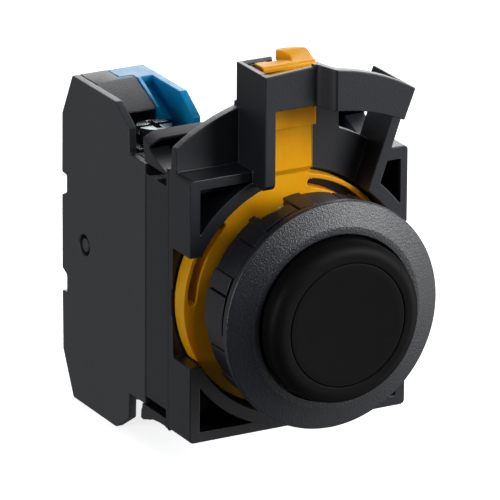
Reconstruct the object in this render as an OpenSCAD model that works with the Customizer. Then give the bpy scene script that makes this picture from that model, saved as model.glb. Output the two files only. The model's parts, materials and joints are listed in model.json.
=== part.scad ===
// Panel-mounted industrial push button with a lock-on adapter and one contact block.
// Millimetres. The origin is on the button's axis in the plane of the panel's front face.
// The user stands on the -Y side, +Y runs back through the panel, +Z is up, +X is right.

/* [Operator head] */
// Outer diameter of the bezel
bezel_d = 29.7; // [29.2:0.1:30.2]
// Diameter of the bezel's opening around the cap
opening_d = 21.7; // [21.7:0.1:21.9]
// Diameter of the button cap
cap_d = 21; // [20.8:0.1:21]
// Diameter of the insert in the cap's face
insert_d = 16; // [14:0.5:17]
// Height of the cap's face in front of the panel
cap_height = 6; // [5.9:0.1:6.4]
// Travel of the button
travel = 3.2; // [2.6:0.1:3.2]
// Outer diameter of the threaded sleeve
sleeve_d = 21.9; // [21.8:0.1:22]
// Length of the sleeve behind the panel
sleeve_len = 13.1; // [13:0.1:13.2]

/* [Adapter] */
// Width of the mounting frame
frame_w = 30.8; // [30.4:0.1:31.4]
// Height of the mounting frame
frame_h = 34.6; // [34.2:0.1:35.4]
// Distance from the panel to the frame's front face
frame_y = 6.5; // [6.4:0.1:6.8]
// Depth of the mounting frame
frame_depth = 5.8; // [5.8:0.1:6.2]
// Height of the lever tower above the axis
tower_z = 30.3; // [30:0.1:30.6]
// Angle that the lock ring turns from locked to free
lock_turn = 17; // [15:1:17]

/* [Contact block] */
// Width of one contact block
block_w = 10.2; // [10:0.1:10.2]
// Height of the contact block
block_h = 43.6; // [43:0.2:44.4]
// Depth of the contact block behind the carrier
block_depth = 23; // [22.8:0.1:24]
// Diameter of the terminal screw heads
screw_head_d = 4.6; // [4.4:0.1:5]

/* [Hidden] */
round_fn = 96;
eps = 0.01;

// Colours
charcoal = [0.16, 0.165, 0.175];
black = [0.10, 0.10, 0.10];
amber = [0.92, 0.66, 0.06];
blue = [0.10, 0.42, 0.62];
rubber = [0.05, 0.05, 0.05];
brass = [0.80, 0.66, 0.36];
steel = [0.72, 0.74, 0.76];
silver = [0.86, 0.86, 0.84];
cream = [0.82, 0.80, 0.72];

// Planes along the button's axis
bezel_rear = -0.8;
rim_y = -1.75;
lip_y = -3.1;
cap_face = -cap_height;
counter_floor = 0.5;
cap_rear = counter_floor - 0.05 - travel;
flange_front = -0.9;
ledge_y = 9.6;
ledge_t = 1.2;
nut_front = 0.6;
nut_rear = 5.1;
frame_rear = frame_y + frame_depth;
ring_front = 8.8;
ring_rear = 11.2;
carrier_rear = 18.25;
block_front = 18.5;
block_rear = block_front + block_depth;

// Radii around the button's axis
bezel_r = bezel_d / 2;
opening_r = opening_d / 2;
cap_r = cap_d / 2;
sleeve_r = sleeve_d / 2;
groove_r = 10.2;
bore_r = 8.25;
skirt_r = bore_r - 0.05;
stem_r = 3.2;
flange_r = 11.9;
counter_r = cap_r + 0.1;
collar_r = sleeve_r + 0.1;
thread_pitch = 1;
thread_depth = 0.45;
arc_wall_in = 15.5;
arc_wall_out = 17.2;
ring_r = 15.1;
ring_in = 11.2;
lug_in = 10.45;
lug_angles = [-16.5, 103.5, 223.5];
lug_span = 15;

// Contact block section, measured back from the panel and up from the axis
half_w = frame_w / 2;
half_h = frame_h / 2;
block_x0 = -half_w;
block_x1 = -half_w + block_w;
block_half = block_h / 2;
shell_t = 1.14;
core_x0 = block_x0 + shell_t;
core_x1 = block_x1 - shell_t;
rib_x0 = block_x0 + 6.8;
cover_y = 28.55;
cover_low_z = 19.45;
cover_top_y = 33.9;
tongue_back = block_rear - 3;
mid_x = block_x0 + 5.12;
shoulder_z = 16;
terminal_y = 25.8;
plate_z = 14.4;
plate_t = 1;
clamp_t = 1;
head_t = 1.9;
contact_z = 6.4;
contact_gap = 2;
bridge_y = 30.5;
bridge_t = 0.8;
tip_t = 0.8;
fixed_y = bridge_y + bridge_t + 2 * tip_t + contact_gap;
leg_t = 0.8;
pitch_x = 10.27;

// A flat outline in X and Z, made solid from y0 to y1
module upright(y0, y1)
    translate([0, y1, 0]) rotate([90, 0, 0]) linear_extrude(height = y1 - y0) children();

// A flat outline in Y and Z, made solid from x0 to x1
module sideways(x0, x1)
    translate([x0, 0, 0]) rotate([90, 0, 90]) linear_extrude(height = x1 - x0) children();

// An outline of radius and Y, turned around the button's axis
module turned(steps = round_fn) rotate([-90, 0, 0]) rotate_extrude($fn = steps) children();

// A round bar or ring along Y
module disc(r, y0, y1, steps = round_fn)
    translate([0, y0, 0]) rotate([-90, 0, 0]) cylinder(r = r, h = y1 - y0, $fn = steps);

// A round bar along Z
module post(r, z0, z1, steps = 48) translate([0, 0, z0]) cylinder(r = r, h = z1 - z0, $fn = steps);

// Mirror copy below the axis
module above_and_below() {
    children();
    mirror([0, 0, 1]) children();
}

module above_and_below_2d() {
    children();
    mirror([0, 1]) children();
}

// A wedge in X and Z from angle a0 to a1, measured from the top towards +X
function wedge_points(a0, a1, reach) =
    concat([[0, 0]], [for (i = [0 : 6]) let (a = a0 + (a1 - a0) * i / 6) [reach * sin(a), reach * cos(a)]]);
module wedge(a0, a1, reach = 60) polygon(wedge_points(a0, a1, reach));

// Part of a ring in X and Z
module ring_part(r_in, r_out, a0, a1)
    intersection() {
        difference() {
            circle(r = r_out, $fn = round_fn);
            circle(r = r_in, $fn = round_fn);
        }
        wedge(a0, a1, 2 * r_out);
    }

// A bar in X and Z beside a ray tilted from the top, from offset s0 to s1 and radius z0 to z1
module tilted_bar(tilt, s0, s1, z0, z1) rotate(-tilt) translate([s0, z0]) square([s1 - s0, z1 - z0]);

// Points of a round wire wound along Y
function coil_point(mean_r, turns, length, t) =
    [mean_r * cos(360 * turns * t), length * t, mean_r * sin(360 * turns * t)];
module coil(mean_r, wire_r, turns, length, sides = 6, per_turn = 18) {
    steps = turns * per_turn;
    rings = [for (i = [0 : steps]) let (t = i / steps, c = coil_point(mean_r, turns, length, t),
             a = 360 * turns * t) [for (k = [0 : sides - 1]) let (b = 360 * k / sides)
             c + wire_r * [cos(b) * cos(a), sin(b), cos(b) * sin(a)]]];
    points = [for (ring = rings) for (p = ring) p];
    walls = [for (i = [0 : steps - 1]) for (k = [0 : sides - 1]) let (n = (k + 1) % sides)
             [i * sides + k, i * sides + n, (i + 1) * sides + n, (i + 1) * sides + k]];
    start = [[for (k = [sides - 1 : -1 : 0]) k]];
    finish = [[for (k = [0 : sides - 1]) steps * sides + k]];
    polyhedron(points = points, faces = concat(start, walls, finish), convexity = 10);
}

// ---------- Operator head ----------

// Front ring: a thin side, a shallow cone, and a nearly flat lip that rounds into the opening
module bezel_section() {
    lip_w = 0.85;
    rim_round = 0.3;
    edge = 0.22;
    cone_y = lip_y + 0.17;
    rim = [for (i = [0 : 4]) let (a = 70 * i / 4)
           [bezel_r - rim_round + rim_round * cos(a), rim_y - rim_round * sin(a)]];
    lip = [for (i = [0 : 6]) let (a = 90 * i / 6)
           [opening_r + edge - edge * sin(a), lip_y + edge - edge * cos(a)]];
    polygon(concat([[flange_r + 0.05, bezel_rear], [bezel_r - 0.25, bezel_rear], [bezel_r, bezel_rear - 0.25]],
                   rim, [[opening_r + lip_w + 0.25, cone_y + 0.06], [opening_r + lip_w, cone_y - 0.01],
                         [opening_r + lip_w - 0.3, lip_y + 0.09]],
                   lip, [[opening_r, flange_front], [flange_r + 0.05, flange_front]]));
}
module bezel_ring() color(charcoal) turned(128) bezel_section();

// Sleeve outline with thread ridges, a groove for the lock ring and a rear collar
module operator_body() {
    ridges = floor((ring_front - 1.4) / thread_pitch);
    thread = [for (i = [0 : ridges - 1]) for (p = [[0, 0.1], [0, 0.35], [thread_depth, 0.6], [thread_depth, 0.75]])
              [sleeve_r - p[0], 0.4 + i * thread_pitch + p[1]]];
    slot_half = lug_span / 2 + 1.5;
    color(charcoal) difference() {
        turned() polygon(concat([[bore_r, counter_floor], [counter_r, counter_floor], [counter_r, flange_front],
            [flange_r, flange_front], [flange_r, 0], [collar_r, 0], [collar_r, 0.4], [sleeve_r, 0.45]],
            thread, [[sleeve_r, ring_front - 0.5], [sleeve_r, ring_front - 0.1], [groove_r, ring_front - 0.1],
            [groove_r, ring_rear + 0.15], [sleeve_r, ring_rear + 0.15], [sleeve_r, sleeve_len - 0.4],
            [sleeve_r - 0.4, sleeve_len], [bore_r, sleeve_len], [bore_r, ledge_y + ledge_t],
            [stem_r + 0.08, ledge_y + ledge_t], [stem_r + 0.08, ledge_y], [bore_r, ledge_y]]));
        for (a = lug_angles)
            upright(ring_rear, sleeve_len + 1)
                ring_part(groove_r, sleeve_r + 1, a + lock_turn - slot_half, a + lock_turn + slot_half);
    }
}

// Flat rubber ring between the bezel and the panel
module panel_gasket() color(rubber) turned()
    polygon([[flange_r + 0.15, bezel_rear], [13.7, bezel_rear], [13.9, bezel_rear + 0.2],
             [13.9, -0.2], [13.7, 0], [flange_r + 0.15, 0]]);

// Clamping nut: raised and low panels, split lines and spanner notches
module locking_nut() {
    panels = 6;
    high_r = 14.15;
    low_r = 13.85;
    notch_r = 12.7;
    split_w = 0.3;
    color(charcoal) difference() {
        union() {
            disc(low_r, nut_front, nut_rear);
            for (i = [0 : panels - 1])
                upright(nut_front, nut_rear) ring_part(low_r - 1, high_r, -95 + i * 60, -64 + i * 60);
        }
        disc(sleeve_r + 0.1, nut_front - 1, nut_rear + 1);
        for (i = [0 : 2 * panels - 1])
            rotate([0, 15 + i * 30 + (i % 2), 0]) translate([-split_w / 2, nut_front - eps, low_r - 0.35])
                cube([split_w, nut_rear - nut_front + 2 * eps, 2]);
        for (i = [0 : 2])
            upright(nut_rear - 2.2, nut_rear + 1) ring_part(notch_r, high_r + 1, -31 + i * 120, -14 + i * 120);
    }
}

// Cap with a rounded edge, a recess for the insert and a hollow back
module button_cap() {
    edge_r = 1.6;
    insert_r = insert_d / 2;
    color(black) turned() difference() {
        union() {
            translate([0, cap_face]) square([cap_r - edge_r, edge_r + eps]);
            translate([0, cap_face + edge_r]) square([cap_r, cap_rear - cap_face - edge_r]);
            intersection() {
                translate([cap_r - edge_r, cap_face + edge_r]) circle(r = edge_r, $fn = 48);
                translate([0, cap_face]) square([cap_r, edge_r + eps]);
            }
        }
        translate([-1, cap_face - 1]) square([insert_r + 1.07, 1.9]);
        translate([-1, cap_face + 1.5]) square([10.3, 3]);
    }
}

// Disc in the cap's face
module cap_insert() color(black) turned()
    polygon([[0, cap_face], [insert_d / 2 - 0.12, cap_face], [insert_d / 2, cap_face + 0.12],
             [insert_d / 2, cap_face + 0.88], [0, cap_face + 0.88]]);

// Slider: a disc under the cap, a guided skirt with a seal groove, and the stem
module push_stem() color(black) turned()
    polygon([[0, cap_face + 1.55], [9.2, cap_face + 1.55], [9.2, cap_rear - 0.05], [skirt_r, cap_rear - 0.05],
             [skirt_r, 1.1], [skirt_r - 0.6, 1.1], [skirt_r - 0.6, 1.9], [skirt_r, 1.9], [skirt_r, 3],
             [6.6, 3], [6.6, cap_rear - 0.05], [stem_r, cap_rear - 0.05], [stem_r, 12.4],
             [stem_r - 0.4, 12.9], [0, 12.9]]);

// Seal ring in the skirt's groove
module stem_seal() color(rubber) turned() translate([skirt_r - 0.27, 1.5]) circle(r = 0.29, $fn = 24);

// Shallow cup on the stem's end that pushes the contact blocks
module pusher_disc() color(cream) turned()
    polygon([[stem_r + 0.02, ledge_y + ledge_t + 0.05], [8, ledge_y + ledge_t + 0.05], [8, 13.2], [6.9, 13.2],
             [6.9, 12], [stem_r + 1, 12], [stem_r + 1, 12.9], [stem_r + 0.02, 12.9]]);

// Coil between the slider's disc and the sleeve's ledge
module return_spring() color(steel) translate([0, cap_rear + 0.35, 0])
    coil(5, 0.32, 6, ledge_y - cap_rear - 0.7);

// ---------- Lock ring ----------

lever_x0 = -4.9;
lever_x1 = 2.6;
lever_top = 30.2;
lever_front = 7.2;
tab_top = 31.1;
tab_low = 29.75;
step_z = 21.8;

// Side view of the lever: a fold above the ring, a step in its face and a rounded top
module lever_side()
    polygon([[ring_front, 13.4], [ring_front, 15.3], [8.1, 16.1], [8.1, step_z], [lever_front, step_z],
             [lever_front, lever_top - 0.5], [lever_front + 0.15, lever_top - 0.15],
             [lever_front + 0.5, lever_top], [9.3, lever_top], [9.3, 17.4], [9.9, 16.6], [9.9, 14.6],
             [ring_rear, 13.9], [ring_rear, 13.4]]);

// Finger tab: it rises from the lever's top and reaches back over the tower's rear wall
module finger_tab() intersection() {
    sideways(lever_x0, lever_x1)
        polygon([[8, lever_top - 1], [8, lever_top], [9.8, tab_top], [11, tab_top], [11.2, tab_top - 0.2],
                 [11.2, tab_low], [9.2, tab_low], [9.2, lever_top - 1]]);
    linear_extrude(height = 40)
        polygon([[-0.3, 7.8], [-0.3, 9.1], [-1.4, 10.4], [-1.2, 10.9], [-0.2, 11.15], [1.4, 10.6],
                 [lever_x1 - 0.1, 9.8], [lever_x1, 9.5], [lever_x1, 7.8]]);
}

module lock_ring() {
    slot_r = 13.9;
    slot_w = 1.2;
    color(amber) difference() {
        union() {
            upright(ring_front, ring_rear) {
                difference() {
                    circle(r = ring_r, $fn = round_fn);
                    circle(r = ring_in, $fn = round_fn);
                }
                for (a = lug_angles) ring_part(lug_in, ring_in + 0.5, a - lug_span / 2, a + lug_span / 2);
            }
            sideways(lever_x0, lever_x1) lever_side();
            translate([lever_x0, 9.2, lever_top - 1]) cube([1.6, 0.4, 1]);
            finger_tab();
        }
        for (span = [[-87, -45], [12, 55]])
            upright(ring_front - 1, ring_rear + 1) {
                ring_part(slot_r - slot_w / 2, slot_r + slot_w / 2, span[0], span[1]);
                for (a = span) rotate(-a) translate([0, slot_r]) circle(d = slot_w - 0.04, $fn = 24);
            }
        // The lower part of the lever's face is narrower than the upper part
        translate([lever_x1 - 0.1, lever_front - 1, 16]) cube([1, 2, step_z - 16]);
    }
}

// ---------- Mounting frame ----------

tower_x = -6.7;
tower_wall = 1.5;
tower_front = 3.3;
tower_back = 10.9;
band_front = 0.4;
band_wall = 1.4;
band_low_r = 25.6;
stop_tilt = 21.5;
stop_s1 = 2.1;
stop_t = 1.3;
stop_back = 9.2;
band_cx = -1.94;
band_cz = 2.9;
band_r = 28.2;
post_tilt = 19.5;
post_s0 = 5.15;
post_w = 1.4;
wing_front = 10.2;
wing_back = 11.5;
wing_r = 25.45;
full_wall_x = 7.55;

// The frame's face without its openings
module frame_outline(grow = 0)
    offset(r = 0.6, $fn = 24) square([frame_w - 1.2 + 2 * grow, frame_h - 1.2 + 2 * grow], center = true);

// Everything right of the tower's inner wall and left of the slanted post
module lever_gap() intersection() {
    polygon([[tower_x + tower_wall, 8], [tower_x + tower_wall, 40], [40, 40], [40, 8]]);
    rotate(-post_tilt) translate([post_s0 - 60, 0]) square([60, 60]);
}

// One corner pocket between the round wall and the frame's corner
module corner_pocket() difference() {
    square([half_w - 1.45, half_h - 1.4]);
    circle(r = arc_wall_out, $fn = round_fn);
}

// Top view of the front wall: the tower's face, an S-bend and the forward band
module band_plan() {
    bend_x0 = 0.2;
    bend_x1 = 1.9;
    bend = [for (i = [0 : 10]) let (t = i / 10)
            [bend_x0 + (bend_x1 - bend_x0) * t, tower_front - (tower_front - band_front) * (1 - cos(180 * t)) / 2]];
    back = [for (i = [10 : -1 : 0]) [bend[i][0] + 0.6, bend[i][1] + band_wall]];
    polygon(concat([[tower_x, tower_front]], bend, [[20, band_front], [20, band_front + band_wall]], back,
                   [[tower_x, tower_front + band_wall]]));
}

// Front view of the same wall: a level-topped face on the left and a curved band on the right
module band_arc() intersection() {
    translate([band_cx, band_cz]) circle(r = band_r, $fn = 128);
    difference() {
        translate([0, 15]) square([20, 20]);
        circle(r = band_low_r, $fn = 128);
    }
}
module band_face() intersection() {
    union() {
        polygon([[tower_x, band_low_r + 0.1], [tower_x, tower_z], [0.6, tower_z + 0.5], [0.6, band_low_r + 0.1]]);
        band_arc();
    }
    rotate(-stop_tilt) translate([stop_s1 - 60, 0]) square([60, 60]);
}

// Plate behind the lever: wing on the left, full wall behind the tower, low curved wall on the right
module back_wall_face() difference() {
    union() {
        offset(r = 0.5, $fn = 24) offset(delta = -0.5) intersection() {
            translate([-half_w, 14]) square([half_w + tower_x + 1, 12]);
            circle(r = wing_r, $fn = 128);
        }
        intersection() {
            translate([tower_x, 14]) square([full_wall_x - tower_x, 20]);
            circle(r = 26, $fn = 96);
        }
        intersection() {
            circle(r = 21.1, $fn = 96);
            translate([0, 12]) square([20, 20]);
            rotate(-post_tilt) translate([post_s0 + 0.5 - 60, 0]) square([60, 60]);
        }
    }
    circle(r = arc_wall_in, $fn = round_fn);
}

module mounting_frame() {
    wall_rear = ring_rear + 0.3;
    color(charcoal) difference() {
        union() {
            // Square body with its round well and corner pockets
            upright(frame_y, wall_rear) difference() {
                frame_outline();
                circle(r = arc_wall_in, $fn = round_fn);
                lever_gap();
                for (sx = [-1, 1]) for (sz = [-1, 1])
                    if (!(sx == 1 && sz == 1)) scale([sx, sz]) corner_pocket();
                difference() {
                    translate([0.35, -0.3]) corner_pocket();
                    rotate(-post_tilt) translate([post_s0 + post_w - 60, 0]) square([60, 60]);
                }
            }
            // Floor behind the lock ring
            upright(wall_rear, frame_rear) difference() {
                frame_outline();
                circle(r = 11.6, $fn = round_fn);
            }
            // Tower: left wall, back wall and the shared front wall
            translate([tower_x, tower_front, 17]) cube([tower_wall, tower_back - tower_front, tower_z - 17]);
            sideways(tower_x, tower_x + tower_wall)
                polygon([[tower_front, 17 + eps], [tower_front, 16.1], [tower_front + 0.6, 15.5],
                         [frame_y + 0.5, 15.5], [frame_y + 0.5, 17 + eps]]);
            translate([tower_x, tower_back - 1.2, 22]) cube([4.8, 1.2, tower_z - 22]);
            intersection() {
                linear_extrude(height = 60) band_plan();
                upright(-5, 12) band_face();
            }
            // Wing and wall behind the lever
            upright(wing_front, wing_back) back_wall_face();
            upright(wing_front, frame_rear) difference() {
                intersection() {
                    translate([-half_w, half_h - 3]) square([frame_w, 3]);
                    frame_outline();
                }
                circle(r = arc_wall_in, $fn = round_fn);
            }
            // Stop wall that runs back from the band's end, slanted post, and the web between them
            upright(band_front, stop_back) intersection() {
                tilted_bar(stop_tilt, stop_s1 - stop_t, stop_s1, 22, 40);
                band_arc();
            }
            upright(frame_y, frame_rear) intersection() {
                tilted_bar(post_tilt, post_s0, post_s0 + post_w, 15, 26);
                square([20, 23.4]);
            }
            translate([10.6, frame_y, 22.5]) cube([3.6, stop_back - frame_y, 0.9]);
        }
        // Side cut-outs that show the edge of the lock ring
        translate([-half_w - 1, frame_y - 1, -7.2]) cube([frame_w + 2, 5.55, 14.4]);
        // Step inside the tower's rim
        translate([tower_x + 0.7, tower_front + 0.7, tower_z - 0.4]) cube([7, 6.4, 2]);
    }
}

// ---------- Block carrier ----------

slot_low = 14.8;
slot_high = 16.2;
bay_w = 10.1;
bay_hole = 7.2;
cavity_y = frame_rear + 1;
bar_ramp = 1.6;
bar_rise = 0.75;

// Side view of an upper latch arm with its concave top
module arm_side() {
    curve = [for (i = [0 : 8]) let (t = i / 8) [12.3 + 6.9 * t, 16.55 + 2.75 * t ^ 1.7]];
    polygon(concat(curve, [[19.2, 18.4], [18.7, slot_high], [12.3, slot_high]]));
}

// Side view of a lower latch arm with its arched edge
module lower_arm_side()
    polygon([[12.3, -shoulder_z - 0.1], [19.4, -shoulder_z - 0.1], [19.8, -18.2], [19.2, -18.3], [18, -17.8],
             [16.4, -17.4], [14.6, -17.2], [12.8, -17.2], [12.3, -17.5]]);

// Side view of the bar that joins two upper arms, raised by rise
module arm_bar_side(rise)
    polygon([[17.5, 18.3 + rise], [17.5, 18.72 + rise], [19.2, 19.3 + rise], [19.2, 18.3]]);

module block_carrier() {
    wall = 1.3;
    color(charcoal) {
        difference() {
            upright(frame_rear, carrier_rear) square([frame_w, 2 * slot_low], center = true);
            // Three bays open to the rear, joined by the space that the plungers work in
            for (i = [-1 : 1]) {
                translate([i * pitch_x - bay_hole / 2, cavity_y, -slot_low + wall])
                    cube([bay_hole, 10, 2 * (slot_low - wall)]);
                translate([i * pitch_x - 4.5, cavity_y, -4]) cube([9, 10, 8]);
            }
            translate([-half_w + wall, cavity_y, -9.5]) cube([frame_w - 2 * wall, 3.2, 19]);
            disc(11.4, frame_rear - 1, frame_rear + 3);
            for (x = [-pitch_x / 2, pitch_x / 2])
                translate([x - 0.3, carrier_rear - 0.6, -20]) cube([0.6, 1, 40]);
        }
        // Root of the latch arms
        upright(frame_rear, frame_rear + 0.6) difference() {
            square([frame_w, frame_h - 0.2], center = true);
            circle(r = 11.4, $fn = round_fn);
        }
        for (i = [-1 : 1]) {
            for (x = [i * pitch_x - bay_w / 2, i * pitch_x + bay_w / 2 - 2.8])
                sideways(x, x + 2.8) {
                    arm_side();
                    lower_arm_side();
                }
            // The bar climbs from both of its ends
            translate([i * pitch_x, 0, 0]) for (side = [0, 1]) mirror([side, 0, 0]) {
                hull() {
                    sideways(-bay_w / 2, 0.05 - bay_w / 2) arm_bar_side(0);
                    sideways(bar_ramp - bay_w / 2, bar_ramp + 0.05 - bay_w / 2) arm_bar_side(bar_rise);
                }
                sideways(bar_ramp - bay_w / 2, eps) arm_bar_side(bar_rise);
            }
            sideways(i * pitch_x - bay_w / 2, i * pitch_x + bay_w / 2) {
                polygon([[18.45, slot_high + 0.1], [18.45, 18.9], [19.1, 18.9], [18.8, slot_high + 0.1]]);
                polygon([[17.4, -16.6], [19.7, -16.9], [19.85, -18.2], [19.2, -18.3], [17.4, -17.7]]);
            }
        }
    }
}

// ---------- Contact block ----------

// Side view of the block
module block_side() {
    top = [[block_front, shoulder_z], [22.8, shoulder_z], [22.9, 19.4], [26.6, block_half],
           [block_rear - 3, block_half], [block_rear - 0.1, shoulder_z]];
    rear = [[block_rear, 8], [block_rear - 1.3, 7.9], [block_rear - 1.3, 5.6], [block_rear, 5]];
    upper = concat(top, rear);
    lower = [for (i = [len(upper) - 1 : -1 : 0]) [upper[i][0], -upper[i][1]]];
    polygon(concat(upper, lower));
}

// Side view of the space around a terminal screw
module terminal_space()
    polygon([[22.8, 11], [32, 11], [32, 20.2], [cover_y, cover_low_z - 0.35], [cover_y, 24], [21, 24],
             [21, shoulder_z], [22.8, shoulder_z]]);

// Side view of the part cut off above the sloping cover
module above_cover()
    polygon([[cover_top_y, block_half], [cover_y, cover_low_z], [cover_y, 24], [cover_top_y, 24]]);

module block_shell_left() color(charcoal) difference() {
    sideways(block_x0, core_x0 - 0.02) block_side();
    translate([block_x0 - 1, 35.2, 0]) rotate([0, 90, 0]) cylinder(r = 1.4, h = 4, $fn = 40);
}

// Distance from the rib's left side and drop below its edge
rib_fall = [[0, 0], [0.8, 1], [1.5, 1.5], [core_x1 - rib_x0, 1.75]];

// Side view of the rib, lowered by drop
module rib_side(drop, back) intersection() {
    block_side();
    polygon([[cover_y + 0.05, 17.4], [cover_y + 0.05, cover_low_z - drop],
             [cover_top_y, block_half + 0.1 - drop], [back, block_half + 0.1 - drop], [back, 17.4]]);
}

module rib_slice(drop) sideways(rib_x0 + 0.05, rib_x0 + 0.1) rib_side(drop, 34.3);

module block_shell_right() color(blue) {
    sideways(core_x1 + 0.02, block_x1) block_side();
    // Rib beside the cover that falls to the side wall, and a tongue across the top
    above_and_below() {
        sideways(rib_x0 + 0.05, rib_x0 + 0.65) rib_side(0, tongue_back);
        for (step = [0 : len(rib_fall) - 2]) hull() {
            translate([rib_fall[step][0], 0, 0]) rib_slice(rib_fall[step][1]);
            translate([rib_fall[step + 1][0], 0, 0]) rib_slice(rib_fall[step + 1][1]);
        }
        sideways(rib_x0 + 0.05, block_x1 - 0.5) intersection() {
            block_side();
            polygon([[34, 20.4], [34, 23], [tongue_back, 23], [tongue_back, 20.4]]);
        }
        sideways(rib_x0 - 1.8, rib_x0 + 0.1) intersection() {
            block_side();
            polygon([[35.2, 20.4], [35.2, 23], [tongue_back, 23], [tongue_back, 20.4]]);
        }
    }
}

module block_core() color(charcoal) {
    difference() {
        union() {
            sideways(core_x0, rib_x0) difference() {
                block_side();
                above_and_below_2d() above_cover();
            }
            sideways(rib_x0 - eps, core_x1) intersection() {
                block_side();
                translate([0, -17.3]) square([80, 34.6]);
            }
            // Tongues that hold the block in the carrier's bay
            above_and_below() translate([mid_x - 3.3, 14.8, 12.2]) cube([6.6, 4, 1.3]);
        }
        above_and_below() {
            sideways(core_x0 - 1, core_x1 + 1) terminal_space();
            translate([rib_x0 - 1.85, 35.15, 20.35]) cube([3, tongue_back - 35.1, 4]);
            translate([mid_x - 3.3, 17.4, 13.2]) cube([6.6, 1.1, 1]);
        }
        sideways(mid_x - 3.4, mid_x + 3.4) core_chamber();
        guide_bore();
    }
    translate([block_x0 + 0.15, 35.2, 0]) rotate([0, 90, 0]) cylinder(r = 0.9, h = shell_t, $fn = 32);
}

// Side view of the contact chamber and the slots for the fixed contacts
module core_chamber() {
    translate([20.5, -9.8]) square([18.5, 19.6]);
    above_and_below_2d() {
        translate([fixed_y - 0.15, 9]) square([leg_t + 0.3, plate_z + plate_t - 9 + 0.1]);
        translate([31.9, plate_z - 0.1]) square([fixed_y - 31.7, plate_t + 0.2]);
    }
}

module guide_bore() translate([mid_x, 0, 0]) disc(2.05, 10, 30, 48);

// Push head, guided shaft and the cage that carries the contact bridge
module contact_plunger() color(cream) {
    difference() {
        union() {
            translate([block_x0 + 2.8, 13.4, -3.4]) cube([6.7, 1.4, 6.8]);
            translate([mid_x, 0, 0]) disc(2, 14.7, 20.6, 48);
            translate([mid_x - 2.7, 20.55, -2.6]) cube([5.4, 12.05, 5.2]);
            translate([mid_x, 0, 0]) disc(1.4, 32.5, 34, 32);
        }
        translate([mid_x - 1.9, 21.75, -3]) cube([3.8, 9.65, 6]);
    }
}

module contact_bridge() color(brass)
    translate([mid_x - 1.8, bridge_y, -8.2]) cube([3.6, bridge_t, 16.4]);

module bridge_tips() color(silver) above_and_below()
    translate([mid_x, 0, contact_z]) disc(1.2, bridge_y + bridge_t, bridge_y + bridge_t + tip_t, 32);

// Bent strip from the terminal to the contact point
module fixed_contact() {
    difference() {
        translate([mid_x - 3.2, 22.9, plate_z]) cube([6.4, fixed_y + leg_t - 22.9, plate_t]);
        translate([mid_x, terminal_y, 0]) post(1.75, plate_z - 1, plate_z + plate_t + 1);
    }
    translate([mid_x - 2.4, fixed_y, 4.6]) cube([4.8, leg_t, plate_z - 4.6 + eps]);
}
module fixed_contact_upper() color(brass) fixed_contact();
module fixed_contact_lower() color(brass) mirror([0, 0, 1]) fixed_contact();
module fixed_contact_tips() color(silver) above_and_below()
    translate([mid_x, 0, contact_z]) disc(1.2, fixed_y - tip_t, fixed_y, 32);

module terminal_screws() {
    head_z = plate_z + plate_t + clamp_t;
    color(steel) above_and_below() translate([mid_x, terminal_y, 0]) difference() {
        union() {
            post(screw_head_d / 2, head_z, head_z + head_t);
            post(1.7, 11.5, head_z + eps);
        }
        translate([-3.2, -0.4, head_z + head_t - 1]) cube([6.4, 0.8, 2]);
        translate([-0.4, -1.6, head_z + head_t - 1.2]) cube([0.8, 3.2, 2]);
    }
}

// Pressure plate with a turned-down tab at its left front
module terminal_clamps() color(steel) above_and_below() {
    difference() {
        translate([mid_x - 3.3, terminal_y - 2.9, plate_z + plate_t]) cube([6.5, 6, clamp_t]);
        translate([mid_x, terminal_y, 0]) post(1.85, plate_z, 20);
    }
    translate([mid_x - 3.6, terminal_y - 2.9, 12.6]) cube([0.35, 1.6, plate_z + plate_t + clamp_t - 12.6]);
}

module contact_spring() color(steel) translate([mid_x, 21.75 + 0.22, 0])
    coil(1.45, 0.2, 6, bridge_y - 21.75 - 0.44);

module plunger_spring() color(steel) translate([mid_x, 32.6 + 0.22, 0])
    coil(2, 0.2, 5, 39 - 32.6 - 0.44);

bezel_ring();
operator_body();
panel_gasket();
locking_nut();
button_cap();
cap_insert();
push_stem();
pusher_disc();
stem_seal();
return_spring();
lock_ring();
mounting_frame();
block_carrier();
block_shell_left();
block_shell_right();
block_core();
contact_plunger();
plunger_spring();
contact_bridge();
bridge_tips();
contact_spring();
fixed_contact_upper();
fixed_contact_lower();
fixed_contact_tips();
terminal_screws();
terminal_clamps();
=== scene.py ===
import json
import math

import bmesh
import bpy
from mathutils import Matrix, Vector


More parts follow.
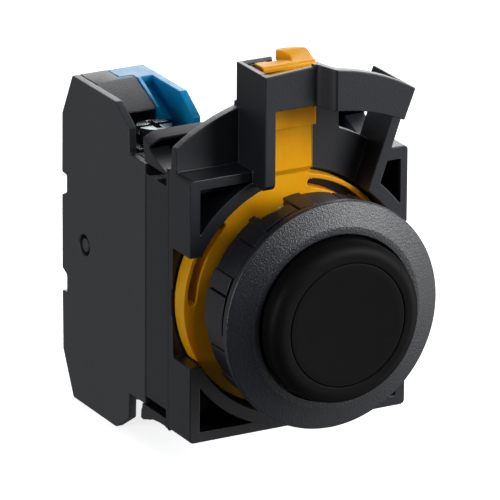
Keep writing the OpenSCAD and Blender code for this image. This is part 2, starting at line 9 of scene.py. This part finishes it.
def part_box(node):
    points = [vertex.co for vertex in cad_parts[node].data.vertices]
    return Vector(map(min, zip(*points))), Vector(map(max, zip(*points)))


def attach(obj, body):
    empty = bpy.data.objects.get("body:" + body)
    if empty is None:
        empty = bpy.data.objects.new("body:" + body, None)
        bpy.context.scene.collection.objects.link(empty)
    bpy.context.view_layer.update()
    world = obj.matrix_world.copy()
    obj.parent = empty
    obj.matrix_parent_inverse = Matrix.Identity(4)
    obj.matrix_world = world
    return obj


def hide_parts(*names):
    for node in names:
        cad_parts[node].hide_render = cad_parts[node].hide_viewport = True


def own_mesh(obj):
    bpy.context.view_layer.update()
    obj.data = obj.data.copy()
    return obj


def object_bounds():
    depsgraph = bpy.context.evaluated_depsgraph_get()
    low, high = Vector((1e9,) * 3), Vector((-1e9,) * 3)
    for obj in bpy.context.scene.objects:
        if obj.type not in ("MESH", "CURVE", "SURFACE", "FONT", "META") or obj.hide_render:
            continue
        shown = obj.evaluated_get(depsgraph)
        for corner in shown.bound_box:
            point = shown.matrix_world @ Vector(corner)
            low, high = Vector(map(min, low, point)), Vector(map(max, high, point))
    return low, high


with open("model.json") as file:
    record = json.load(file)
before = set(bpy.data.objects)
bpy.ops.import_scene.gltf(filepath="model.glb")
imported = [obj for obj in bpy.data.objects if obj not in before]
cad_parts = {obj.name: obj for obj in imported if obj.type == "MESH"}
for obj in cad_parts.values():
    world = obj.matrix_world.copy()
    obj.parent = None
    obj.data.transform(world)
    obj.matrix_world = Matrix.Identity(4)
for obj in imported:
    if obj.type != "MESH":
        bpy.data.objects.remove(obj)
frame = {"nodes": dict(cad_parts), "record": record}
cad_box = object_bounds()

MM = 0.001
BEHAVIOUR = frame["record"]["behaviour"]
BODY_OF = {node: body for body, nodes in BEHAVIOUR["bodies"].items() for node in nodes}
SLOT_OF = {part["node"]: part["material_slot"] for part in frame["record"]["subparts"]}

# Radius of the moulded edges of the parts that keep their CAD shape, in millimetres.
EDGE_RADIUS = {
    "mounting_frame": 0.13,
    "block_carrier": 0.1,
    "block_shell_left": 0.2,
    "block_core": 0.12,
    "locking_nut": 0.1,
    "block_shell_right": 0.16,
    "lock_ring": 0.14,
    "terminal_screws": 0.08,
    "terminal_clamps": 0.08,
    "operator_body": 0.06,
    "panel_gasket": 0.1,
    "push_stem": 0.1,
    "pusher_disc": 0.1,
    "contact_plunger": 0.1,
    "contact_bridge": 0.08,
    "fixed_contact_upper": 0.08,
    "fixed_contact_lower": 0.08,
}
EDGE_ANGLE = 28             # an edge sharper than this many degrees is rounded
MOULDED_CREASE = 38         # and one sharper than this stays a crease in the shading
TURNED_CREASE = 35
FLAT_FACE_WEIGHT = 80       # how strongly large faces set the shading next to them
CAD_WELD = 0.003            # millimetres
TURNED_WELD = 0.0005
TURNED_STEPS = 256
WIRE_SIDES = 10
WIRE_STEPS_PER_TURN = 40
CLOSED_PITCH = 2.1          # pitch of a coil's end turns, over the wire's radius

# (towards, cosine where it starts, cosine where it is full, strength)
GLOWS = (
    ((0.43, 0.82, 0.38), 0.80, 0.98, 3.7),
    ((0.90, -0.42, -0.06), 0.74, 0.99, 1.9),
    ((0.45, -0.38, -0.81), 0.82, 0.99, 0.45),
    ((-0.35, 0.88, -0.32), 0.3, 0.95, 0.19),
    ((0.1, -0.1, 0.99), 0.5, 0.98, 0.07),
)
AMBIENT_COLOR = (0.95, 0.97, 1.0, 1)
AMBIENT_STRENGTH = 0.05

NOISE_LOW, NOISE_HIGH = 0.3, 0.7        # most of a noise texture's values lie between these
MIX_FIRST, MIX_SECOND, MIX_RESULT = 6, 7, 2     # the colour sockets of a Mix node


# ---------- Camera, floor and light ----------

def view_axes(azimuth, elevation, roll):
    """Right, up and back directions of a camera that looks along +Y at azimuth 0."""
    az, el, ro = (math.radians(a) for a in (azimuth, elevation, roll))
    back = Vector((math.sin(az) * math.cos(el), -math.cos(az) * math.cos(el), math.sin(el)))
    right = Vector((math.cos(az), math.sin(az), 0))
    up = back.cross(right)
    return right * math.cos(ro) + up * math.sin(ro), up * math.cos(ro) - right * math.sin(ro), back


def linked(thing):
    bpy.context.scene.collection.objects.link(thing)
    return thing


def make_camera():
    """A long lens from the front left and a little above, aimed beside the rim's centre."""
    rim_centre = Vector((0, -1.6, 0)) * MM
    aim_left, aim_up = 9.985, 7.98
    distance = 0.7911
    right, up, back = view_axes(-28.6, 19.65, 0.35)
    aim = rim_centre - right * aim_left * MM + up * aim_up * MM
    camera = linked(bpy.data.objects.new("camera", bpy.data.cameras.new("camera")))
    camera.data.sensor_width = 36
    camera.data.lens = 460.8
    camera.data.clip_start = 0.01
    turned = Matrix((right, up, back)).transposed().to_4x4()
    camera.matrix_world = Matrix.Translation(aim + back * distance) @ turned
    bpy.context.scene.camera = camera


def area_light(name, place, aim, size, power):
    light = linked(bpy.data.objects.new(name, bpy.data.lights.new(name, "AREA")))
    light.data.shape = "RECTANGLE"
    light.data.size, light.data.size_y = size
    light.data.energy = power
    light.location = place
    light.rotation_euler = (Vector(aim) - Vector(place)).to_track_quat("-Z", "Y").to_euler()


def make_world():
    """A dim studio with soft round glows: bright behind the object, weaker right, below and above."""
    world = bpy.data.worlds.new("studio")
    bpy.context.scene.world = world
    world.use_nodes = True
    nodes, links = world.node_tree.nodes, world.node_tree.links
    coord = nodes.new("ShaderNodeTexCoord")
    ambient = nodes["Background"]
    ambient.inputs["Color"].default_value = AMBIENT_COLOR
    ambient.inputs["Strength"].default_value = AMBIENT_STRENGTH
    total = ambient.outputs[0]
    for towards, start, full, strength in GLOWS:
        along = nodes.new("ShaderNodeVectorMath")
        along.operation = "DOT_PRODUCT"
        along.inputs[1].default_value = towards
        ramp = nodes.new("ShaderNodeValToRGB")
        ramp.color_ramp.interpolation = "EASE"
        ramp.color_ramp.elements[0].position = start
        ramp.color_ramp.elements[0].color = (0, 0, 0, 1)
        ramp.color_ramp.elements[1].position = full
        ramp.color_ramp.elements[1].color = (1, 1, 1, 1)
        glow = nodes.new("ShaderNodeBackground")
        glow.inputs["Strength"].default_value = strength
        both = nodes.new("ShaderNodeAddShader")
        links.new(coord.outputs["Generated"], along.inputs[0])
        links.new(along.outputs["Value"], ramp.inputs[0])
        links.new(ramp.outputs[0], glow.inputs["Color"])
        links.new(total, both.inputs[0])
        links.new(glow.outputs[0], both.inputs[1])
        total = both.outputs[0]
    links.new(total, nodes["World Output"].inputs["Surface"])


def make_floor():
    """A white floor that the camera sees and that throws no light back onto the object."""
    lowest = cad_box[0][2]
    reach = 3.0
    corners = [(x * reach, y * reach, lowest) for x, y in ((-1, -1), (1, -1), (1, 1), (-1, 1))]
    mesh = bpy.data.meshes.new("floor")
    mesh.from_pydata(corners, [], [(0, 1, 2, 3)])
    floor = linked(bpy.data.objects.new("floor", mesh))
    material = bpy.data.materials.new("floor_white")
    material.use_nodes = True
    shader = material.node_tree.nodes["Principled BSDF"]
    shader.inputs["Base Color"].default_value = (0.85, 0.85, 0.86, 1)
    shader.inputs["Roughness"].default_value = 0.95
    shader.inputs["Specular IOR Level"].default_value = 0.0
    shader.inputs["Emission Color"].default_value = (1, 1, 1, 1)
    shader.inputs["Emission Strength"].default_value = 0.8
    mesh.materials.append(material)
    floor.visible_diffuse = False
    floor.visible_glossy = False


# ---------- Materials ----------

class Shader:
    """A material with short calls for the nodes that the finishes share."""

    def __init__(self, name, **sockets):
        self.material = bpy.data.materials.new(name)
        self.material.use_nodes = True
        self.nodes = self.material.node_tree.nodes
        self.links = self.material.node_tree.links
        self.surface = self.nodes["Principled BSDF"]
        self.place = self.nodes.new("ShaderNodeTexCoord").outputs["Object"]
        for socket, value in sockets.items():
            self.surface.inputs[socket.replace("_", " ")].default_value = value

    def noise(self, size, detail=2.0, roughness=0.5, stretch=None):
        """Noise whose features are about size millimetres across."""
        node = self.nodes.new("ShaderNodeTexNoise")
        node.inputs["Scale"].default_value = 1 / (size * MM)
        node.inputs["Detail"].default_value = detail
        node.inputs["Roughness"].default_value = roughness
        place = self.place
        if stretch:
            mapping = self.nodes.new("ShaderNodeMapping")
            mapping.inputs["Scale"].default_value = stretch
            self.links.new(place, mapping.inputs["Vector"])
            place = mapping.outputs["Vector"]
        self.links.new(place, node.inputs["Vector"])
        return node.outputs["Fac"]

    def cells(self, size):
        """Distance from the nearest of many points, about size millimetres apart."""
        node = self.nodes.new("ShaderNodeTexVoronoi")
        node.inputs["Scale"].default_value = 1 / (size * MM)
        self.links.new(self.place, node.inputs["Vector"])
        return node.outputs["Distance"]

    def ramp(self, source, *stops):
        """A colour ramp from (position, colour) pairs."""
        node = self.nodes.new("ShaderNodeValToRGB")
        elements = node.color_ramp.elements
        while len(elements) < len(stops):
            elements.new(0.5)
        for element, (position, color) in zip(elements, stops):
            element.position = position
            element.color = (*color, 1)
        self.links.new(source, node.inputs["Fac"])
        return node.outputs["Color"]

    def scaled(self, source, low, high):
        """Noise stretched to run from low to high."""
        node = self.nodes.new("ShaderNodeMapRange")
        node.inputs["From Min"].default_value = NOISE_LOW
        node.inputs["From Max"].default_value = NOISE_HIGH
        node.inputs["To Min"].default_value = low
        node.inputs["To Max"].default_value = high
        self.links.new(source, node.inputs["Value"])
        return node.outputs["Result"]

    def mixed(self, factor, first, second):
        """Two colours, mixed by a factor that varies over the surface."""
        node = self.nodes.new("ShaderNodeMix")
        node.data_type = "RGBA"
        self.links.new(factor, node.inputs["Factor"])
        self.links.new(first, node.inputs[MIX_FIRST])
        self.links.new(second, node.inputs[MIX_SECOND])
        return node.outputs[MIX_RESULT]

    def bump(self, source, height, previous=None):
        """Relief of the given height in millimetres, on top of a previous relief."""
        node = self.nodes.new("ShaderNodeBump")
        node.inputs["Strength"].default_value = 1.0
        node.inputs["Distance"].default_value = height * MM
        self.links.new(source, node.inputs["Height"])
        if previous is not None:
            self.links.new(previous, node.inputs["Normal"])
        return node.outputs["Normal"]

    def color(self, source):
        self.links.new(source, self.surface.inputs["Base Color"])

    def rough(self, source):
        self.links.new(source, self.surface.inputs["Roughness"])

    def normal(self, source):
        self.links.new(source, self.surface.inputs["Normal"])


def shade(color, factor):
    return tuple(c * factor for c in color)


def dark_plastic(name, tone, grain, relief, rough, gloss=0.5):
    """Moulded charcoal plastic: spark-eroded grain, faint flow marks and uneven sheen."""
    s = Shader(name, Specular_IOR_Level=gloss)
    fine = s.noise(grain, 3.0, 0.6)
    flow = s.noise(7, 2.0, 0.5, stretch=(1, 1, 0.35))
    low, high, pale = shade(tone, 0.82), shade(tone, 1.22), shade(tone, 1.9)
    grained = s.ramp(fine, (0.25, low), (0.6, high), (0.8, pale))
    clouded = s.ramp(s.noise(grain * 2.2), (0.3, low), (0.75, high))
    s.color(s.mixed(s.scaled(flow, 0.0, 0.6), grained, clouded))
    s.rough(s.scaled(s.noise(grain * 1.4, 3.0, 0.7), *rough))
    s.normal(s.bump(s.cells(grain * 1.6), relief * 0.5, s.bump(fine, relief)))
    return s.material


def cap_plastic():
    """Black satin plastic with a very fine grain."""
    s = Shader("cap_black_satin", Specular_IOR_Level=0.08)
    fine = s.noise(0.12, 2.0)
    s.color(s.ramp(fine, (0.3, (0.0030, 0.0029, 0.0028)), (0.8, (0.0062, 0.0060, 0.0058))))
    s.rough(s.scaled(s.noise(2.5, 3.0), 0.46, 0.56))
    s.normal(s.bump(fine, 0.006))
    return s.material


def tinted_plastic(name, deep, body, pale, rough, scatter, radius, gloss=0.5):
    """Coloured glossy plastic that light enters a little way."""
    s = Shader(name, Subsurface_Weight=scatter, Subsurface_Radius=radius, Subsurface_Scale=2 * MM,
               Specular_IOR_Level=gloss)
    flow = s.noise(5, 3.0, 0.55, stretch=(1, 1, 0.5))
    fine = s.noise(0.25, 3.0)
    flowing = s.ramp(flow, (0.25, deep), (0.5, body), (0.8, pale))
    speckled = s.ramp(fine, (0.3, deep), (0.7, pale))
    s.color(s.mixed(s.scaled(fine, 0.0, 0.35), flowing, speckled))
    s.rough(s.scaled(s.noise(1.6, 4.0, 0.6), *rough))
    s.normal(s.bump(s.noise(0.9, 2.0), 0.006, s.bump(fine, 0.003)))
    return s.material


def metal(name, dull, bright, rough, stretch=(1, 1, 1), relief=0.004):
    """Plated or drawn metal: streaked polish, faint tarnish and fine scratches."""
    s = Shader(name, Metallic=1.0)
    streaks = s.noise(0.3, 3.0, 0.55, stretch=stretch)
    polished = s.ramp(streaks, (0.3, dull), (0.7, bright))
    tarnished = s.ramp(s.noise(0.8), (0.35, bright), (0.75, dull))
    s.color(s.mixed(s.scaled(s.noise(1.8, 3.0), 0.0, 0.8), polished, tarnished))
    s.rough(s.scaled(streaks, *rough))
    s.normal(s.bump(streaks, relief))
    return s.material


def soft_rubber():
    """Matt black rubber with a fine uneven skin."""
    s = Shader("seal_rubber", Specular_IOR_Level=0.3, Sheen_Weight=0.15, Sheen_Roughness=0.5)
    fine = s.noise(0.16, 4.0, 0.6)
    s.color(s.ramp(fine, (0.3, (0.010, 0.010, 0.011)), (0.8, (0.022, 0.022, 0.023))))
    s.rough(s.scaled(s.noise(1.1), 0.72, 0.88))
    s.normal(s.bump(fine, 0.012))
    return s.material


FINISH = {
    "grained_plastic": dark_plastic("bezel_grain", (0.0090, 0.0105, 0.0150), grain=0.17, relief=0.045,
                                    rough=(0.28, 0.44), gloss=0.62),
    "dark_plastic": dark_plastic("charcoal_moulded", (0.0085, 0.0095, 0.0135), grain=0.14, relief=0.014,
                                 rough=(0.34, 0.44), gloss=0.55),
    "cap_plastic": cap_plastic(),
    "rubber": soft_rubber(),
    "cream_plastic": tinted_plastic("cream_slider", (0.50, 0.47, 0.37), (0.60, 0.57, 0.46), (0.66, 0.63, 0.53),
                                    rough=(0.38, 0.5), scatter=0.12, radius=(1.0, 0.8, 0.5)),
    "amber_plastic": tinted_plastic("amber_lever", (0.70, 0.290, 0.003), (0.83, 0.375, 0.005),
                                    (0.88, 0.43, 0.008), rough=(0.30, 0.40), scatter=0.45,
                                    radius=(1.0, 0.28, 0.03), gloss=0.16),
    "blue_plastic": tinted_plastic("blue_cover", (0.002, 0.19, 0.40), (0.003, 0.25, 0.50), (0.005, 0.30, 0.56),
                                   rough=(0.30, 0.42), scatter=0.30, radius=(0.1, 0.6, 1.0), gloss=0.3),
    "block_plastic": dark_plastic("charcoal_block", (0.038, 0.0395, 0.046), grain=0.2, relief=0.03,
                                  rough=(0.42, 0.52)),
    "spring_steel": metal("spring_wire", (0.42, 0.42, 0.43), (0.62, 0.62, 0.63), rough=(0.24, 0.36)),
    "plated_steel": metal("zinc_plate", (0.15, 0.18, 0.19), (0.30, 0.34, 0.36), rough=(0.18, 0.28),
                          stretch=(1, 1, 6), relief=0.001),
    "brass": metal("strip_brass", (0.52, 0.36, 0.13), (0.72, 0.54, 0.24), rough=(0.24, 0.4),
                   stretch=(1, 0.15, 1)),
    "silver": metal("contact_silver", (0.62, 0.61, 0.58), (0.80, 0.79, 0.76), rough=(0.3, 0.45)),
}


def finish_of(node):
    """The contact block's dark parts are a little paler than the adapter's."""
    if node in ("block_shell_left", "block_core"):
        return FINISH["block_plastic"]
    return FINISH[SLOT_OF[node]]


# ---------- Pieces ----------

def new_piece(name, mesh, node):
    piece = linked(bpy.data.objects.new(name, mesh))
    mesh.materials.clear()
    mesh.materials.append(finish_of(node))
    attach(piece, BODY_OF[node])
    return piece


def even_normals(piece, crease):
    """Smooth shading that keeps large faces flat and breaks at edges sharper than crease degrees."""
    for polygon in piece.data.polygons:
        polygon.use_smooth = True
    piece.data.set_sharp_from_angle(angle=math.radians(crease))
    weighted = piece.modifiers.new("even_normals", "WEIGHTED_NORMAL")
    weighted.keep_sharp = True
    weighted.weight = FLAT_FACE_WEIGHT


def applied(piece):
    """Turns the piece's modifiers into mesh."""
    graph = bpy.context.evaluated_depsgraph_get()
    mesh = bpy.data.meshes.new_from_object(piece.evaluated_get(graph))
    piece.modifiers.clear()
    piece.data = mesh


def kept_inside(piece, node):
    """Draws back the points of a mitred corner that stand outside the CAD part's box."""
    low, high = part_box(node)
    for vertex in piece.data.vertices:
        vertex.co = [min(max(c, a), b) for c, a, b in zip(vertex.co, low, high)]


def rounded(node, radius):
    """A copy of a CAD part with its moulded edges rounded, which stands in for it."""
    mesh = frame["nodes"][node].data.copy()
    bm = bmesh.new()
    bm.from_mesh(mesh)
    bmesh.ops.remove_doubles(bm, verts=bm.verts, dist=CAD_WELD * MM)
    bmesh.ops.dissolve_limit(bm, angle_limit=math.radians(0.8), verts=bm.verts, edges=bm.edges)
    bm.to_mesh(mesh)
    bm.free()
    piece = new_piece(node + "_moulded", mesh, node)
    bevel = piece.modifiers.new("bevel", "BEVEL")
    bevel.width = radius * MM
    bevel.segments = 2
    bevel.limit_method = "ANGLE"
    bevel.angle_limit = math.radians(EDGE_ANGLE)
    bevel.use_clamp_overlap = False
    bevel.miter_outer = "MITER_ARC"
    applied(piece)
    kept_inside(piece, node)
    even_normals(piece, MOULDED_CREASE)
    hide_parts(node)


def closed_mesh(name, verts, faces):
    """A mesh with its doubled points welded and all its faces looking outward."""
    mesh = bpy.data.meshes.new(name)
    mesh.from_pydata(verts, [], faces)
    bm = bmesh.new()
    bm.from_mesh(mesh)
    bmesh.ops.remove_doubles(bm, verts=bm.verts, dist=TURNED_WELD * MM)
    bmesh.ops.recalc_face_normals(bm, faces=bm.faces)
    bm.to_mesh(mesh)
    bm.free()
    return mesh


def lathe(name, node, outline):
    """A closed outline of (radius, y) in millimetres, turned around the button's axis."""
    verts, faces = [], []
    count = len(outline)
    for i in range(TURNED_STEPS):
        turn = 2 * math.pi * i / TURNED_STEPS
        verts += [(r * math.sin(turn) * MM, y * MM, r * math.cos(turn) * MM) for r, y in outline]
        here, after = i * count, (i + 1) % TURNED_STEPS * count
        for j in range(count):
            n = (j + 1) % count
            faces.append((here + j, here + n, after + n, after + j))
    piece = new_piece(name, closed_mesh(name, verts, faces), node)
    even_normals(piece, TURNED_CREASE)
    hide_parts(node)


def arc(centre_r, centre_y, radius, start, end, steps):
    """Points of an outline's corner; 0 degrees points outward and 90 degrees back."""
    return [(centre_r + radius * math.cos(math.radians(start + (end - start) * i / steps)),
             centre_y + radius * math.sin(math.radians(start + (end - start) * i / steps)))
            for i in range(steps + 1)]


def box_mm(node):
    """The lowest and highest corner of a CAD part, in millimetres."""
    return [[c / MM for c in corner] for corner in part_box(node)]


def make_bezel():
    """A ring with a lip round the cap, a shallow cone and a rounded rim."""
    low, high = box_mm("bezel_ring")
    bezel_r, lip_y = high[0], low[1]
    seat = box_mm("panel_gasket")[0][1]
    flange = seat - 0.1
    bore_r = 11.95
    opening, lip = 10.85, 0.85
    cone_y = lip_y + 0.1
    rim_r, rim_y = 0.3, -1.75
    crest_r = 0.5
    edge_r = 0.1
    rear = [(bore_r, flange), (bore_r, seat), (bezel_r - 0.35, seat), (bezel_r - 0.1, seat - 0.08),
            (bezel_r, seat - 0.3)]
    rim = arc(bezel_r - rim_r, rim_y, rim_r, 0, -70, 8)
    crest = arc(opening + lip, cone_y + crest_r, crest_r, -70, -86, 4)
    edge = arc(opening + edge_r, lip_y + edge_r, edge_r, -90, -180, 6)
    lathe("bezel_ring_turned", "bezel_ring", rear + rim + crest + edge + [(opening, flange)])


def make_cap():
    """A hollow cap with a wide rounded edge, and the flat insert in its face."""
    low, high = box_mm("button_cap")
    face, back, cap_r = low[1], high[1], high[0]
    insert_r = box_mm("cap_insert")[1][0]
    recess_r, recess_floor = insert_r + 0.07, face + 0.92
    lip_r, edge_r, insert_edge_r = 0.12, 1.6, 0.14
    hollow_r, hollow_y = 9.3, face + 1.5
    recess = [(0, recess_floor), (recess_r, recess_floor), (recess_r, face + 0.2)]
    lip = arc(recess_r + lip_r, face + lip_r, lip_r, -180, -90, 5)
    edge = arc(cap_r - edge_r, face + edge_r, edge_r, -90, 0, 20)
    inside = [(cap_r, back - 0.1), (cap_r - 0.1, back), (hollow_r, back), (hollow_r, hollow_y), (0, hollow_y)]
    lathe("button_cap_turned", "button_cap", recess + lip + edge + inside)

    insert_back = face + 0.88
    dish_depth, dish_steps = 0.10, 8
    dish = [(insert_r * k / dish_steps, face + 0.03 + dish_depth * (1 - (k / dish_steps) ** 2))
            for k in range(dish_steps)]
    insert_edge = arc(insert_r - insert_edge_r, face + 0.16, insert_edge_r, -90, 0, 5)
    lathe("cap_insert_turned", "cap_insert",
          [(0, insert_back)] + dish + insert_edge + [(insert_r, insert_back)])


def wound(node, wire_r, turns):
    """A round-wire coil with closed end turns, filling the CAD part's box."""
    low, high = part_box(node)
    mean_r = (high[0] - low[0]) / 2 - wire_r
    centre_x = (high[0] + low[0]) / 2
    first, length = low[1] + wire_r, high[1] - low[1] - 2 * wire_r
    end_pitch = CLOSED_PITCH * wire_r
    verts, faces = [], []
    steps = turns * WIRE_STEPS_PER_TURN
    for i in range(steps + 1):
        turn = i / WIRE_STEPS_PER_TURN
        if turn < 1:
            along = end_pitch * turn
        elif turn > turns - 1:
            along = length - end_pitch * (turns - turn)
        else:
            along = end_pitch + (length - 2 * end_pitch) * (turn - 1) / (turns - 2)
        angle = 2 * math.pi * turn
        here, after = i * WIRE_SIDES, (i + 1) * WIRE_SIDES
        for k in range(WIRE_SIDES):
            around = 2 * math.pi * k / WIRE_SIDES
            r = mean_r + wire_r * math.cos(around)
            verts.append((centre_x + r * math.cos(angle), first + along + wire_r * math.sin(around),
                          r * math.sin(angle)))
            if i < steps:
                n = (k + 1) % WIRE_SIDES
                faces.append((here + k, here + n, after + n, after + k))
    faces += [tuple(range(WIRE_SIDES))[::-1], tuple(steps * WIRE_SIDES + k for k in range(WIRE_SIDES))]
    mesh = closed_mesh(node + "_wound", verts, faces)
    piece = new_piece(node + "_wound", mesh, node)
    for polygon in mesh.polygons:
        polygon.use_smooth = len(polygon.vertices) == 4
    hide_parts(node)
    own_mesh(piece)


def make_springs():
    """The coils stand between a fixed end and a part that moves with the button."""
    wound("return_spring", 0.32 * MM, 6)
    wound("plunger_spring", 0.2 * MM, 5)
    wound("contact_spring", 0.2 * MM, 6)


def finish_kept_nodes():
    """The small parts that are shown as they come still need their own finish."""
    for name, node in frame["nodes"].items():
        if not node.hide_render:
            node.data.materials.clear()
            node.data.materials.append(finish_of(name))


make_camera()
make_world()
make_floor()
area_light("key_right", (0.42, -0.48, 0.25), (0, 0.01, 0), (0.36, 0.36), 4.3)
area_light("top_front", (0.02, -0.48, 0.46), (0, 0.01, 0.01), (0.26, 0.20), 0.7)
area_light("left_fill", (-0.62, -0.04, 0.10), (0, 0.02, 0), (0.26, 0.30), 1.7)
bpy.context.scene.view_settings.view_transform = "Standard"

make_bezel()
make_cap()
for part, edge_radius in EDGE_RADIUS.items():
    rounded(part, edge_radius)
make_springs()
finish_kept_nodes()
